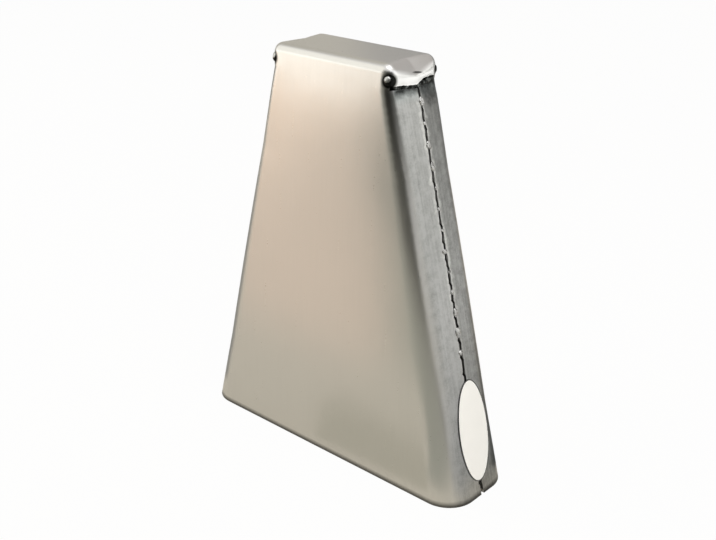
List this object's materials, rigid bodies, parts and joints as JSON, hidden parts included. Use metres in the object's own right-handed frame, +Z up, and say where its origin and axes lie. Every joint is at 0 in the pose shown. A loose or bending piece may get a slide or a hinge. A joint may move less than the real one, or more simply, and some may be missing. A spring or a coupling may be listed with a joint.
{
  "type": "bongo bell",
  "caption": "Hand-held folded steel bell with a flattened tapering body, an open oblong mouth and a closed narrow end, struck with a beater.",
  "frame": {"origin": "centre of the mouth, on the plane that the rim rests on", "axes": "+Z up from the mouth to the closed end, +X across the broad faces towards the side that carries the label, -Y towards the front broad face"},
  "size_m": [0.17, 0.047, 0.203],
  "materials": {
    "sheet_steel": "satin plated steel with fine vertical drawing marks",
    "weld_metal": "plated weld metal, darkened in the hollows",
    "label_film": "white film label, blank"
  },
  "bodies": {
    "root": {"bell_body": "sheet_steel", "right_seam_tacks": "weld_metal", "left_seam_tacks": "weld_metal", "right_end_weld": "weld_metal", "left_end_weld": "weld_metal", "front_right_corner_weld": "weld_metal", "front_left_corner_weld": "weld_metal", "rear_right_corner_weld": "weld_metal", "rear_left_corner_weld": "weld_metal", "oval_label": "label_film"}
  },
  "joints": []
}
